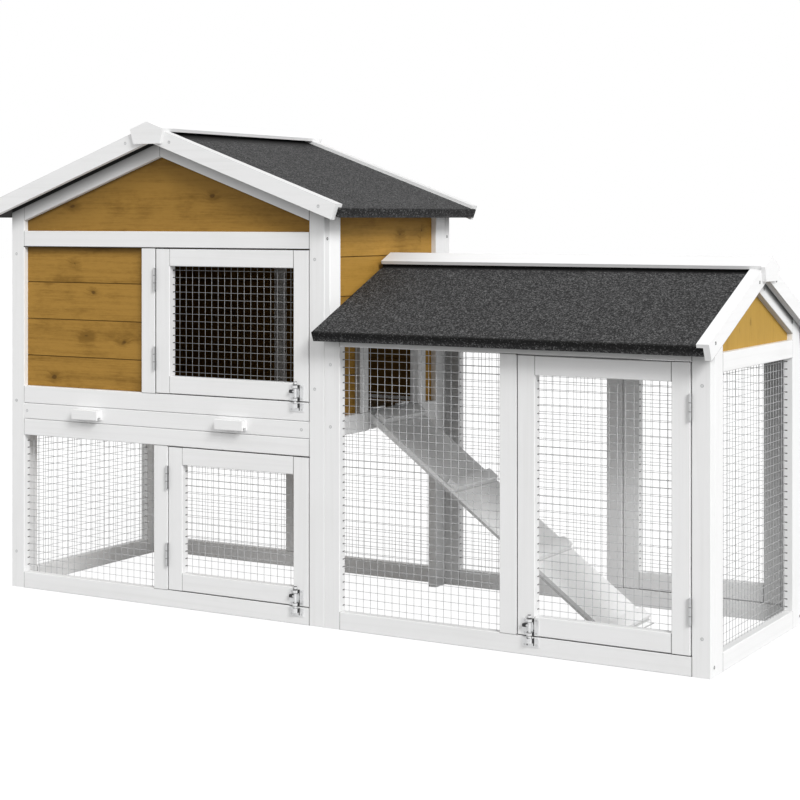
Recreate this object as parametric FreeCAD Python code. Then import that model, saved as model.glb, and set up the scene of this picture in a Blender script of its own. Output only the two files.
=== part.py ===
import FreeCAD, Part
import math
import os

# Small animal hutch: a gabled house on two storeys with a pull-out tray, and a roofed wire run beside it.
# Modelled in millimetres with x from the house's left face, y from the front face and z from the ground.

# Timber sections
frame_t = 17.0              # thickness of every wall and door frame
stile_w = 30.0              # uprights of the front and back walls and of the doors
door_rail_h = 30.0          # cross members of the doors
side_stile_w = 34.0         # uprights of the side walls and the run's end
plank_t = 7.0               # stained boards, flush with the inside of the frames
plank_w = 67.5              # height of one board
arris = 1.0                 # chamfer along the edges of every member

# House walls
house_w = 685.0             # left face to right face
depth = 433.0               # front face to back face
bottom_rail_h = 29.4
lower_opening_h = 252.1     # bottom rail to tray rail
tray_rail_h = 29.5
tray_slot_h = 29.5          # slot that the tray's front closes
floor_rail_h = 31.3
upper_opening_h = 255.7     # floor rail to gable rail
gable_rail_h = 28.9
gable_side_h = 38.5         # gable rail to the roof's underside, at the outer face of a side wall
upper_panel_w = 272.0       # boarded panel beside the upper door
lower_window_w = 299.5      # wire window beside the lower door
first_plank_h = 56.0        # lowest front board, as far as it shows
house_rake_h = 30.2         # plumb height of the gable's sloping members
side_rail_rise = 2.0        # side walls' floor rail above the tray slot's lower edge
side_rail_h = 32.0
side_top_rail_h = 13.9
side_plank_count = 5
back_plank_count = 4

# Doorway from the house to the run
doorway_w = 173.0
doorway_shift = 12.0        # doorway's middle, behind the middle of the wall
jamb_w = 28.0
header_h = 28.0
doorway_planks = 3          # boards that the doorway cuts through
sill_t = 8.0                # thin board that closes the floor rail across the doorway

# Run walls
run_l = 675.0
run_window_w = 295.6
run_opening_h = 438.1       # bottom rail to top rail
run_top_rail_h = 25.3       # at the wall's outer face
end_top_rail_h = 29.2
end_rail_drop = 14.8        # end wall's top rail below the roof's underside at the front face
run_rake_h = 26.7

# Roofs
house_pitch = 19.8          # degrees
run_pitch = 24.0            # degrees
board_t = 13.5
felt_t = 2.5
house_eave = 45.0           # felt's edge beyond the side walls
run_eave = 40.5             # felt's edge beyond the front and back walls
house_verge = 21.0          # roof boards beyond the front and back walls
run_verge = 4.0             # roof boards beyond the end wall
barge_t = 10.0
barge_h = 27.2
barge_lip_w = 20.0
barge_lip_t = 5.8
house_barge_past = -5.0     # barge boards' ends beyond the felt's edge
run_barge_past = 3.0
house_ridge_strip_w = 16.0  # felt laid along each side of the ridge, under the cap
run_ridge_strip_w = 28.0
cap_w = 30.5
cap_t = 5.8
plate_t = 7.0
plate_h = 38.6
plate_top_w = 72.0
plate_bottom_w = 57.0

# Wire panels
wire_d = 1.2
mesh_pitch_across = 13.7
mesh_pitch_up = 12.7
mesh_depth = 12.0           # wire behind the outer face of its frame

# Doors, hinges and bolts
door_gap = 1.6              # round three sides of each door
hinge_h = 40.0
hinge_inset = 53.0          # upper hinge's middle from the top of a house door
low_hinge_inset = 61.0      # lower hinge's middle from the bottom of a house door
run_hinge_inset = 66.0
leaf_t = 1.0
leaf_clear = 0.2            # between the two closed leaves
leaf_depth = 14.0
knuckle_r = 2.8
knuckle_clear = 0.15        # round each knuckle, and between knuckles
pin_r = 1.5
pin_clear = 0.06
bolt_inset = 23.0           # bolt from the free edge of its door
bolt_r = 2.5
bolt_clear = 0.08
bolt_plate_w = 28.0
bolt_plate_t = 1.2
bolt_plate_lift = 0.4       # plate above the door's lower edge
bolt_body_clear = 0.8       # bolt to its plate, and knob to its straps
bolt_tip_clear = 0.6        # bolt's tip above the keeper
strap_h = 5.4
strap_t = 2.2
bolt_l = 36.0
bolt_throw = 8.0            # down into the keeper
bolt_lift = 3.0             # up until the knob's shank meets the upper strap
shank_r = 1.7
knob_flare = 0.5            # knob's radius beyond the bolt's
knob_l = 5.5
round_sides = 8             # flats that stand for a full turn on rolled and pressed sheet
keeper_plate_h = 14.0
keeper_drop = 2.0           # keeper's plate below the rail's upper edge
keeper_loop_h = 7.3

# Tray
tray_clear = 0.7            # round the tray's front
tray_front_t = 15.0
tray_base_t = 5.0
tray_side_clear = 1.5
tray_back_clear = 6.0
tray_slide_clear = 0.3
runner_w = 23.0
runner_h = 14.0
rim_w = 10.0
handle_w = 57.0
handle_h = 18.0
handle_reach = 16.0
groove_w = 9.0              # finger groove along the pull's underside
groove_h = 5.0
handle_lift = 7.0           # pull's lower edge above the tray slot's lower edge
handle_spacing = 316.0

# Ramp
ramp_pitch = 36.4           # degrees
ramp_t = 10.0
ramp_side_gap = 9.0         # ramp to each jamb
cleat_count = 4
cleat_w = 22.0
cleat_h = 11.0
cleat_inset = 12.0          # end cleats from the ramp's ends
ramp_hinge_inset = 36.0     # hinge's middle from the ramp's edge

# Levels and places that follow from the sizes above
tray_rail_z = bottom_rail_h + lower_opening_h
tray_z = tray_rail_z + tray_rail_h
floor_rail_z = tray_z + tray_slot_h
upper_z = floor_rail_z + floor_rail_h
gable_rail_z = upper_z + upper_opening_h
gable_z = gable_rail_z + gable_rail_h
house_wall_h = gable_z + gable_side_h       # ground to the roof's underside, at a side wall's outer face
side_rail_z = tray_z + side_rail_rise
sill_z = side_rail_z + side_rail_h
side_top_z = house_wall_h - side_top_rail_h
run_top_rail_z = bottom_rail_h + run_opening_h
run_wall_h = run_top_rail_z + run_top_rail_h
end_gable_z = run_wall_h - end_rail_drop
end_top_rail_z = end_gable_z - end_top_rail_h
end_x = house_w + run_l
house_mid = house_w / 2
depth_mid = depth / 2
side_in = frame_t + side_stile_w
side_out = depth - side_in
doorway_y0 = depth_mid + doorway_shift - doorway_w / 2
doorway_y1 = doorway_y0 + doorway_w
upper_stile_x = stile_w + upper_panel_w
lower_stile_x = stile_w + lower_window_w
right_stile_x = house_w - stile_w
run_stile_x = house_w + stile_w + run_window_w
corner_stile_x = end_x - stile_w
roof_t = board_t + felt_t
hinge_gap = 2 * leaf_t + leaf_clear
knuckle_out = knuckle_r + knuckle_clear     # hinge axis, in front of the frame's face

X = FreeCAD.Vector(1, 0, 0)
Y = FreeCAD.Vector(0, 1, 0)
Z = FreeCAD.Vector(0, 0, 1)

nodes = {}


def add(name, *solids):
    """Put solids into a named sub-part."""
    nodes.setdefault(name, []).extend(solids)


def box(x0, x1, y0, y1, z0, z1):
    return Part.makeBox(x1 - x0, y1 - y0, z1 - z0, FreeCAD.Vector(x0, y0, z0))


def prism(points, sweep):
    """A closed outline of points, extruded along a vector."""
    return Part.Face(Part.makePolygon(points + points[:1])).extrude(sweep)


def ease(solid, along):
    """Chamfer the edges of a member that run along it."""
    edges = [e for e in solid.Edges if abs(e.tangentAt(e.FirstParameter).dot(along)) > 0.999]
    return solid.makeChamfer(arris, edges)


def member(x0, x1, y0, y1, z0, z1):
    """A straight piece of timber with eased edges along its length."""
    length, along = max((x1 - x0, X), (y1 - y0, Y), (z1 - z0, Z), key=lambda side: side[0])
    return ease(box(x0, x1, y0, y1, z0, z1), along)


class Wall:
    """A wall seen from outside: u runs along it, d goes in from its outer face, z is up."""

    def __init__(self, along, face, inward):
        self.along = along
        self.face = face
        self.inward = inward

    def limits(self, u0, u1, d0, d1):
        through = sorted((self.face + self.inward * d0, self.face + self.inward * d1))
        return [u0, u1] + through if self.along == X else through + [u0, u1]

    def box(self, u0, u1, d0, d1, z0, z1):
        return box(*self.limits(u0, u1, d0, d1), z0, z1)

    def member(self, u0, u1, z0, z1, d0=0.0, d1=frame_t):
        return member(*self.limits(u0, u1, d0, d1), z0, z1)

    def panel(self, outline, d0, d1):
        """An outline of (u, z) points, given thickness through the wall."""
        across = Y if self.along == X else X
        points = [self.along * u + across * (self.face + self.inward * d0) + Z * z for u, z in outline]
        return prism(points, across * (self.inward * (d1 - d0)))

    def planks(self, u0, u1, edges):
        """Boards laid one above the other, flush with the inside of the frame."""
        pairs = zip(edges, edges[1:])
        return [self.member(u0, u1, low, high, frame_t - plank_t, frame_t) for low, high in pairs]

    def mesh(self, u0, u1, z0, z1):
        """Welded wire: uprights in front and cross wires behind, butting on the frame round the opening."""
        back = mesh_depth + wire_d
        half = wire_d / 2
        wires = [self.box(u - half, u + half, mesh_depth, back, z0, z1)
                 for u in spaced(u0, u1, mesh_pitch_across)]
        wires += [self.box(u0, u1, back, back + wire_d, z - half, z + half)
                  for z in spaced(z0, z1, mesh_pitch_up)]
        return wires


def spaced(start, end, pitch):
    """Places at a steady pitch, centred between two ends."""
    count = int((end - start) / pitch)
    first = (start + end - (count - 1) * pitch) / 2
    return [first + pitch * i for i in range(count)]


def steps(start, end, count):
    """Edges of equal parts between two ends."""
    return [start + (end - start) * i / count for i in range(count + 1)]


class Roof:
    """Two slopes about a level ridge: u runs down a slope from the ridge, n stands square to it.

    n is 0 on top of the felt, and every layer is mitred on the plane that stands through the ridge.
    """

    def __init__(self, along, middle, wall_h, pitch, eave, barge_past):
        self.along = along
        self.across = Y if along == X else X
        self.middle = middle
        self.sin = math.sin(math.radians(pitch))
        self.cos = math.cos(math.radians(pitch))
        self.tan = self.sin / self.cos
        self.reach = middle + eave
        self.ridge_z = wall_h + middle * self.tan + roof_t / self.cos
        self.eave_u = self.reach / self.cos
        self.eave = eave
        self.barge_end = self.eave_u + barge_past

    def under(self, place):
        """Height of the roof's underside at a place across the ridge."""
        return self.ridge_z - roof_t / self.cos - abs(place - self.middle) * self.tan

    def mitre(self, n):
        """Where a layer at height n starts, on the plane through the ridge."""
        return (-n * self.tan, n)

    def layer(self, side, outline, a0, a1):
        """An outline of (u, n) points on one slope, from a0 to a1 along the ridge."""
        points = []
        for u, n in outline:
            place = self.middle + side * (u * self.cos + n * self.sin)
            height = self.ridge_z - u * self.sin + n * self.cos
            points.append(self.across * place + self.along * a0 + Z * height)
        return prism(points, self.along * (a1 - a0))

    def strip(self, side, u_end, n0, n1, a0, a1):
        return self.layer(side, [self.mitre(n0), (u_end, n0), (u_end, n1), self.mitre(n1)], a0, a1)

    def board(self, side, a0, a1):
        return self.strip(side, self.eave_u - felt_t, -roof_t, -felt_t, a0, a1)

    def felt(self, side, a0, a1):
        """Felt on the board, turned down over the board's lower edge."""
        inner = self.eave_u - felt_t
        outline = [self.mitre(-felt_t), (inner, -felt_t), (inner, -roof_t), (self.eave_u, -roof_t),
                   (self.eave_u, 0), (0, 0)]
        return self.layer(side, outline, a0, a1)

    def barge(self, side, outer, inward):
        """L-section barge board: a face over the roof's end and a lip on the felt."""
        low = barge_lip_t - barge_h
        face = self.strip(side, self.barge_end, low, barge_lip_t, outer, outer + inward * barge_t)
        lip = self.strip(side, self.barge_end, 0, barge_lip_t, outer, outer + inward * barge_lip_w)
        return face.fuse(lip).removeSplitter().Solids[0]

    def ridge_strip(self, side, width, a0, a1):
        return self.strip(side, width, 0, barge_lip_t, a0, a1)

    def cap(self, side, a0, a1):
        """One plank of the ridge cap, laid on the ridge strips and the lips of the barge boards."""
        return self.strip(side, cap_w, barge_lip_t, barge_lip_t + cap_t, a0, a1)

    def apex_plate(self, inner, outer):
        """Five-sided plate that covers the end of the ridge cap and the barge boards' mitre."""
        top = self.ridge_z + (barge_lip_t + cap_t) / self.cos
        outline = [(0, top), (plate_top_w / 2, top - plate_top_w / 2 * self.tan),
                   (plate_bottom_w / 2, top - plate_h), (-plate_bottom_w / 2, top - plate_h),
                   (-plate_top_w / 2, top - plate_top_w / 2 * self.tan)]
        points = [self.across * (self.middle + u) + self.along * inner + Z * z for u, z in outline]
        return prism(points, self.along * (outer - inner))

    def space(self, a0, a1):
        """All the room below the roof, for trimming what stands up to it."""
        low, high = -self.eave, 2 * self.middle + self.eave
        outline = [(low, 0), (high, 0), (high, self.under(high)), (self.middle, self.under(self.middle)),
                   (low, self.under(low))]
        points = [self.across * place + self.along * a0 + Z * z for place, z in outline]
        return prism(points, self.along * (a1 - a0))


house_front = Wall(X, 0.0, 1)
house_back = Wall(X, depth, -1)
house_left = Wall(Y, 0.0, 1)
house_right = Wall(Y, house_w, -1)
run_end = Wall(Y, end_x, -1)

house_roof = Roof(Y, house_mid, house_wall_h, house_pitch, house_eave, house_barge_past)
run_roof = Roof(X, depth_mid, run_wall_h, run_pitch, run_eave, run_barge_past)
house_space = house_roof.space(0, depth)
run_space = run_roof.space(house_w, end_x)


def rakes(wall, roof, u0, u1, plumb_h):
    """Sloping members under the roof, mitred at the middle, between two uprights."""
    pair = []
    for foot in (u0, u1):
        low_foot = roof.under(foot) - plumb_h
        low_top = roof.under(roof.middle) - plumb_h
        outline = [(foot, low_foot), (roof.middle, low_top), (roof.middle, roof.under(roof.middle)),
                   (foot, roof.under(foot))]
        slope = wall.along * (roof.middle - foot) + Z * (low_top - low_foot)
        pair.append(ease(wall.panel(outline, 0, frame_t), slope.normalize()))
    return pair


def gable_panel(wall, roof, u0, u1, z0, plumb_h):
    """Stained panel that fills a gable between rail and rakes."""
    outline = [(u0, z0), (u1, z0), (u1, roof.under(u1) - plumb_h),
               (roof.middle, roof.under(roof.middle) - plumb_h), (u0, roof.under(u0) - plumb_h)]
    return wall.panel(outline, frame_t - plank_t, frame_t)


def upright(wall, u0, u1, top_z, space):
    """A stile that stands on the ground and is cut to the roof's underside."""
    return wall.member(u0, u1, 0, top_z).common(space).Solids[0]


def house_gable_wall(wall, name, rails):
    """Stiles, rails and rakes of the front or back wall of the house."""
    for u0 in (0, right_stile_x):
        add(name, upright(wall, u0, u0 + stile_w, house_roof.ridge_z, house_space))
    for z0, height in rails:
        add(name, wall.member(stile_w, right_stile_x, z0, z0 + height))
    add(name, *rakes(wall, house_roof, stile_w, right_stile_x, house_rake_h))
    add("house_gable_panels",
        gable_panel(wall, house_roof, stile_w, right_stile_x, gable_z, house_rake_h))


def house_front_wall():
    rails = [(0, bottom_rail_h), (tray_rail_z, tray_rail_h), (floor_rail_z, floor_rail_h),
             (gable_rail_z, gable_rail_h)]
    house_gable_wall(house_front, "house_front_frame", rails)
    add("house_front_frame",
        house_front.member(upper_stile_x, upper_stile_x + stile_w, upper_z, gable_rail_z),
        house_front.member(lower_stile_x, lower_stile_x + stile_w, bottom_rail_h, tray_rail_z))
    edges = [upper_z]
    seam = upper_z + first_plank_h
    while seam < gable_rail_z - plank_w / 2:
        edges.append(seam)
        seam += plank_w
    add("house_front_planks", *house_front.planks(stile_w, upper_stile_x, edges + [gable_rail_z]))
    add("house_front_mesh", *house_front.mesh(stile_w, lower_stile_x, bottom_rail_h, tray_rail_z))


def house_back_wall():
    rails = [(0, bottom_rail_h), (side_rail_z, side_rail_h), (gable_rail_z, gable_rail_h)]
    house_gable_wall(house_back, "house_back_frame", rails)
    add("house_back_frame",
        house_back.member(upper_stile_x, upper_stile_x + stile_w, sill_z, gable_rail_z),
        house_back.member(lower_stile_x, lower_stile_x + stile_w, bottom_rail_h, side_rail_z))
    edges = steps(sill_z, gable_rail_z, back_plank_count)
    add("house_back_planks", *house_back.planks(stile_w, upper_stile_x, edges),
        *house_back.planks(upper_stile_x + stile_w, right_stile_x, edges))
    add("house_back_mesh", *house_back.mesh(stile_w, lower_stile_x, bottom_rail_h, side_rail_z),
        *house_back.mesh(lower_stile_x + stile_w, right_stile_x, bottom_rail_h, side_rail_z))


def house_side_frame(wall, name):
    """Stiles and top rail of a side wall, between the front and back walls."""
    top = house_roof.ridge_z
    add(name, upright(wall, frame_t, side_in, top, house_space),
        upright(wall, side_out, depth - frame_t, top, house_space),
        wall.member(side_in, side_out, side_top_z, house_wall_h + frame_t).common(house_space).Solids[0])


def house_left_wall():
    house_side_frame(house_left, "house_left_frame")
    add("house_left_frame", house_left.member(side_in, side_out, 0, bottom_rail_h),
        house_left.member(side_in, side_out, side_rail_z, sill_z))
    add("house_left_planks",
        *house_left.planks(side_in, side_out, steps(sill_z, side_top_z, side_plank_count)))
    add("house_left_mesh", *house_left.mesh(side_in, side_out, bottom_rail_h, side_rail_z))


def house_right_wall():
    """Boarded above with a framed doorway, and open to the run below."""
    house_side_frame(house_right, "house_right_frame")
    edges = steps(sill_z, side_top_z, side_plank_count)
    head_z = edges[doorway_planks]
    jamb_y0 = doorway_y0 - jamb_w
    jamb_y1 = doorway_y1 + jamb_w
    add("house_right_frame",
        house_right.member(side_in, doorway_y0, side_rail_z, sill_z),
        house_right.member(doorway_y1, side_out, side_rail_z, sill_z),
        house_right.member(doorway_y0, doorway_y1, side_rail_z, sill_z, frame_t - sill_t, frame_t),
        house_right.member(jamb_y0, doorway_y0, sill_z, head_z),
        house_right.member(doorway_y1, jamb_y1, sill_z, head_z),
        house_right.member(doorway_y0, doorway_y1, head_z - header_h, head_z))
    lower = edges[:doorway_planks + 1]
    add("house_right_planks", *house_right.planks(side_in, jamb_y0, lower),
        *house_right.planks(jamb_y1, side_out, lower),
        *house_right.planks(side_in, side_out, edges[doorway_planks:]))


def run_long_wall(wall, name):
    """Stiles, rails and window mesh of the run's front or back wall, with the door's place left open."""
    top = run_roof.ridge_z
    for u0 in (house_w, corner_stile_x):
        add(name + "_frame", upright(wall, u0, u0 + stile_w, top, run_space))
    rail_u0 = house_w + stile_w
    top_rail = wall.member(rail_u0, corner_stile_x, run_top_rail_z, run_roof.under(frame_t))
    add(name + "_frame", wall.member(rail_u0, corner_stile_x, 0, bottom_rail_h),
        top_rail.common(run_space).Solids[0],
        wall.member(run_stile_x, run_stile_x + stile_w, bottom_rail_h, run_top_rail_z))
    add(name + "_mesh", *wall.mesh(rail_u0, run_stile_x, bottom_rail_h, run_top_rail_z))


def run_end_wall():
    top = run_roof.ridge_z
    add("run_end_frame", upright(run_end, frame_t, side_in, top, run_space),
        upright(run_end, side_out, depth - frame_t, top, run_space),
        run_end.member(side_in, side_out, 0, bottom_rail_h),
        run_end.member(side_in, side_out, end_top_rail_z, end_gable_z),
        *rakes(run_end, run_roof, side_in, side_out, run_rake_h))
    add("run_end_mesh", *run_end.mesh(side_in, side_out, bottom_rail_h, end_top_rail_z))
    add("run_end_gable", gable_panel(run_end, run_roof, side_in, side_out, end_gable_z, run_rake_h))


def house_roofing():
    front = -house_verge - barge_t
    back = depth + house_verge + barge_t
    for side in (-1, 1):
        add("house_roof_boards", house_roof.board(side, -house_verge, depth + house_verge))
        add("house_roof_felt", house_roof.felt(side, -house_verge, depth + house_verge),
            house_roof.ridge_strip(side, house_ridge_strip_w, front + barge_lip_w, back - barge_lip_w))
        add("house_barge_boards", house_roof.barge(side, front, 1), house_roof.barge(side, back, -1))
        add("house_ridge_cap", house_roof.cap(side, front, back))
    add("house_apex_plates", house_roof.apex_plate(front, front - plate_t),
        house_roof.apex_plate(back, back + plate_t))


def run_roofing():
    """The run's roof stops against the house, so it has barge boards at its free end alone."""
    free_end = end_x + run_verge + barge_t
    for side in (-1, 1):
        add("run_roof_boards", run_roof.board(side, house_w, end_x + run_verge))
        add("run_roof_felt", run_roof.felt(side, house_w, end_x + run_verge),
            run_roof.ridge_strip(side, run_ridge_strip_w, house_w, free_end - barge_lip_w))
        add("run_barge_boards", run_roof.barge(side, free_end, -1))
        add("run_ridge_cap", run_roof.cap(side, house_w, free_end))
    add("run_apex_plate", run_roof.apex_plate(free_end, free_end + plate_t))


def placed(shape, origin, x_dir, y_dir):
    """A shape made at the origin, moved to a place and turned to two directions."""
    z_dir = x_dir.cross(y_dir)
    turn = FreeCAD.Matrix(x_dir.x, y_dir.x, z_dir.x, origin.x, x_dir.y, y_dir.y, z_dir.y, origin.y,
                          x_dir.z, y_dir.z, z_dir.z, origin.z, 0, 0, 0, 1)
    moved = shape.copy()
    moved.Placement = FreeCAD.Placement(turn)
    return moved


def flats(radius, low, high):
    """An upright prism about z whose corners lie on a radius."""
    turns = [2 * math.pi * i / round_sides for i in range(round_sides)]
    points = [FreeCAD.Vector(radius * math.cos(turn), radius * math.sin(turn), low) for turn in turns]
    return prism(points, Z * (high - low))


def over_round(radius):
    """Corner radius of flats that clear a round piece of the given radius."""
    return radius / math.cos(math.pi / round_sides)


def hinge_leaf(side, knuckles):
    """One leaf of a butt hinge, about a pin on z, lying along +y on one side of the closed gap."""
    inner, outer = sorted((side * leaf_clear / 2, side * hinge_gap / 2))
    plate_y = knuckle_r + knuckle_clear / 2
    leaf = box(inner, outer, plate_y, knuckle_out + leaf_depth, -hinge_h / 2, hinge_h / 2)
    for low, high in knuckles:
        leaf = leaf.fuse(box(inner, outer, 0, plate_y, low, high))
        leaf = leaf.fuse(flats(knuckle_r, low, high))
    bore = flats(over_round(pin_r + pin_clear), -hinge_h / 2, hinge_h / 2)
    return leaf.cut(bore).removeSplitter().Solids[0]


def hinge(origin, x_dir, y_dir, moving_node):
    """A butt hinge whose moving leaf lies on the x_dir side and whose leaves reach in along y_dir."""
    third = hinge_h / 6
    outer_knuckles = [(-hinge_h / 2, -third - knuckle_clear), (third + knuckle_clear, hinge_h / 2)]
    fixed = hinge_leaf(-1, outer_knuckles)
    moving = hinge_leaf(1, [(-third, third)])
    pin = Part.makeCylinder(pin_r, hinge_h, Z * (-hinge_h / 2))
    add("hinge_frame_leaves", placed(fixed, origin, x_dir, y_dir))
    add(moving_node, placed(moving, origin, x_dir, y_dir))
    add("hinge_pins", placed(pin, origin, x_dir, y_dir))


bolt_out = bolt_plate_t + bolt_body_clear + bolt_r      # bolt's axis, in front of the door's face
strap_out_r = over_round(bolt_r + bolt_clear) + strap_t
bolt_plate_h = 2 * strap_h + bolt_throw + bolt_lift + 2 * shank_r + 2 * bolt_body_clear


def strap(low, high, bore_r):
    """Arched strap over the bolt, standing on a plate whose front is at y = -bolt_plate_t."""
    turns = [2 * math.pi * i / round_sides for i in range(round_sides // 2 + 1)]

    def arch(radius):
        sweep = [(radius * math.cos(turn), -bolt_out - radius * math.sin(turn)) for turn in turns]
        return [(radius, -bolt_plate_t)] + sweep + [(-radius, -bolt_plate_t)]

    outline = arch(over_round(bore_r) + strap_t) + arch(over_round(bore_r))[::-1]
    return prism([FreeCAD.Vector(x, y, low) for x, y in outline], Z * (high - low))


def bolt_plate():
    """Plate with two straps, above the door's lower edge at z = 0."""
    low = bolt_plate_lift
    high = low + bolt_plate_h
    plate = box(-bolt_plate_w / 2, bolt_plate_w / 2, -bolt_plate_t, 0, low, high)
    for z0 in (low, high - strap_h):
        plate = plate.fuse(strap(z0, z0 + strap_h, bolt_r + bolt_clear))
    return plate.removeSplitter().Solids[0]


def bolt_rod():
    """Round bolt with a knob on a shank to the left, resting just above the keeper."""
    tip = bolt_tip_clear - door_gap - keeper_drop
    knob_z = bolt_plate_lift + strap_h + bolt_body_clear + bolt_throw + shank_r
    knob_x = strap_out_r + bolt_body_clear
    side = FreeCAD.Vector(0, -bolt_out, knob_z)
    shank = placed(flats(shank_r, 0, knob_x + knob_l / 2), side, Z, Y)
    knob = placed(flats(bolt_r + knob_flare, knob_x, knob_x + knob_l), side, Z, Y)
    rod = Part.makeCylinder(bolt_r, bolt_l, FreeCAD.Vector(0, -bolt_out, tip))
    return rod.fuse(shank).fuse(knob).removeSplitter().Solids[0]


def keeper():
    """Plate with one strap on the rail below the door, measured from the door's lower edge."""
    high = -door_gap - keeper_drop
    plate = box(-bolt_plate_w / 2, bolt_plate_w / 2, -bolt_plate_t, 0, high - keeper_plate_h, high)
    return plate.fuse(strap(high - keeper_loop_h, high, bolt_r + 2 * bolt_clear)).removeSplitter().Solids[0]


def door(name, wall, u_hinge, u_free, z0, z1, top_inset, low_inset):
    """A framed wire door in the opening from its hinge jamb to its free jamb."""
    turn = 1 if u_free > u_hinge else -1
    hinge_edge = u_hinge + turn * hinge_gap
    free_edge = u_free - turn * door_gap
    u0, u1 = sorted((hinge_edge, free_edge))
    low = z0 + door_gap
    high = z1 - door_gap
    add(name + "_frame", wall.member(u0, u0 + stile_w, low, high), wall.member(u1 - stile_w, u1, low, high),
        wall.member(u0 + stile_w, u1 - stile_w, low, low + door_rail_h),
        wall.member(u0 + stile_w, u1 - stile_w, high - door_rail_h, high))
    add(name + "_mesh", *wall.mesh(u0 + stile_w, u1 - stile_w, low + door_rail_h, high - door_rail_h))
    inward = Y * wall.inward
    for z in (low + low_inset, high - top_inset):
        axis = FreeCAD.Vector(u_hinge + turn * hinge_gap / 2, wall.face - wall.inward * knuckle_out, z)
        hinge(axis, X * turn, inward, name + "_hinge_leaves")
    foot = FreeCAD.Vector(free_edge - turn * bolt_inset, wall.face, low)
    right = inward.cross(Z)
    add(name + "_bolt_plate", placed(bolt_plate(), foot, right, inward))
    add(name + "_bolt", placed(bolt_rod(), foot, right, inward))
    add("bolt_keepers", placed(keeper(), foot, right, inward))


def doors():
    door("upper_door", house_front, upper_stile_x + stile_w, right_stile_x, upper_z, gable_rail_z,
         hinge_inset, low_hinge_inset)
    door("lower_door", house_front, lower_stile_x + stile_w, right_stile_x, bottom_rail_h, tray_rail_z,
         hinge_inset, low_hinge_inset)
    for name, wall in (("run_door", house_front), ("rear_run_door", house_back)):
        door(name, wall, corner_stile_x, run_stile_x + stile_w, bottom_rail_h, run_top_rail_z,
             run_hinge_inset, run_hinge_inset)


def finger_pull(x_mid, z0):
    """Batten with a groove underneath for the fingers."""
    x0 = x_mid - handle_w / 2
    body = member(x0, x0 + handle_w, -handle_reach, 0, z0, z0 + handle_h)
    groove_y = (-handle_reach - groove_w) / 2
    groove = box(x0, x0 + handle_w, groove_y, groove_y + groove_w, z0, z0 + groove_h)
    return body.cut(groove).Solids[0]


def tray():
    """Sliding floor of the upper storey, on runners along the side walls."""
    x0 = stile_w + tray_side_clear
    x1 = right_stile_x - tray_side_clear
    back = depth - frame_t - tray_back_clear
    runner_z = side_rail_z + runner_h
    for runner_x in (frame_t, house_w - frame_t - runner_w):
        add("tray_runners",
            member(runner_x, runner_x + runner_w, frame_t, depth - frame_t, side_rail_z, runner_z))
    base_z = runner_z + tray_slide_clear
    rim_z = base_z + tray_base_t
    rim_top = floor_rail_z - tray_clear
    add("tray_front", member(stile_w + tray_clear, right_stile_x - tray_clear, 0, tray_front_t,
                             tray_z + tray_clear, floor_rail_z - tray_clear))
    add("tray_base", box(x0, x1, tray_front_t, back, base_z, rim_z))
    add("tray_rims", member(x0, x0 + rim_w, tray_front_t, back, rim_z, rim_top),
        member(x1 - rim_w, x1, tray_front_t, back, rim_z, rim_top),
        member(x0 + rim_w, x1 - rim_w, back - rim_w, back, rim_z, rim_top))
    for step in (-0.5, 0.5):
        add("tray_handles", finger_pull(house_mid + step * handle_spacing, tray_z + handle_lift))


def ramp():
    """Board from the doorway's sill to the ground, with cleats across it."""
    sin, cos = math.sin(math.radians(ramp_pitch)), math.cos(math.radians(ramp_pitch))
    y0 = doorway_y0 + ramp_side_gap
    y1 = doorway_y1 - ramp_side_gap
    sill_x = house_w - frame_t + sill_t
    top_x = sill_x + hinge_gap
    length = sill_z / sin

    def on_slope(s, n):
        """A point s down the ramp and n above its upper face."""
        return FreeCAD.Vector(top_x + s * cos + n * sin, y0, sill_z - s * sin + n * cos)

    plumb = ramp_t / cos
    foot = on_slope(length, 0)
    heel = foot - X * (ramp_t / sin)
    head = on_slope(0, 0)
    across = Y * (y1 - y0)
    add("ramp_board", prism([head, head - Z * plumb, heel, foot], across))
    for s in steps(cleat_inset, length - cleat_inset - cleat_w, cleat_count - 1):
        cleat = prism([on_slope(s, 0), on_slope(s + cleat_w, 0), on_slope(s + cleat_w, cleat_h),
                       on_slope(s, cleat_h)], across)
        add("ramp_cleats", ease(cleat, Y))
    for y in (y0 + ramp_hinge_inset, y1 - ramp_hinge_inset):
        hinge(FreeCAD.Vector(sill_x + hinge_gap / 2, y, sill_z + knuckle_out), X, -Z, "ramp_hinge_leaves")


house_front_wall()
house_back_wall()
house_left_wall()
house_right_wall()
run_long_wall(house_front, "run_front")
run_long_wall(house_back, "run_back")
run_end_wall()
house_roofing()
run_roofing()
doors()
tray()
ramp()

# The part's own origin: on the ground, in the middle of everything
parts_box = FreeCAD.BoundBox()
for solids in nodes.values():
    for solid in solids:
        parts_box.add(solid.BoundBox)
to_origin = FreeCAD.Vector(-parts_box.Center.x, -parts_box.Center.y, 0)

os.makedirs("parts", exist_ok=True)
for name, solids in nodes.items():
    shape = Part.makeCompound(solids)
    shape.translate(to_origin)
    shape.exportStep("parts/" + name + ".step")
print(len(nodes), "sub-parts,", sum(len(solids) for solids in nodes.values()), "solids")
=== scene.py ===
"""Finishes the small animal hutch: paint, stain, felt, wire panels, screws and a plain stage."""

import math

import bmesh
import bpy
from bpy.props import FloatProperty, FloatVectorProperty, IntProperty, PointerProperty
from mathutils import Matrix, Vector


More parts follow.
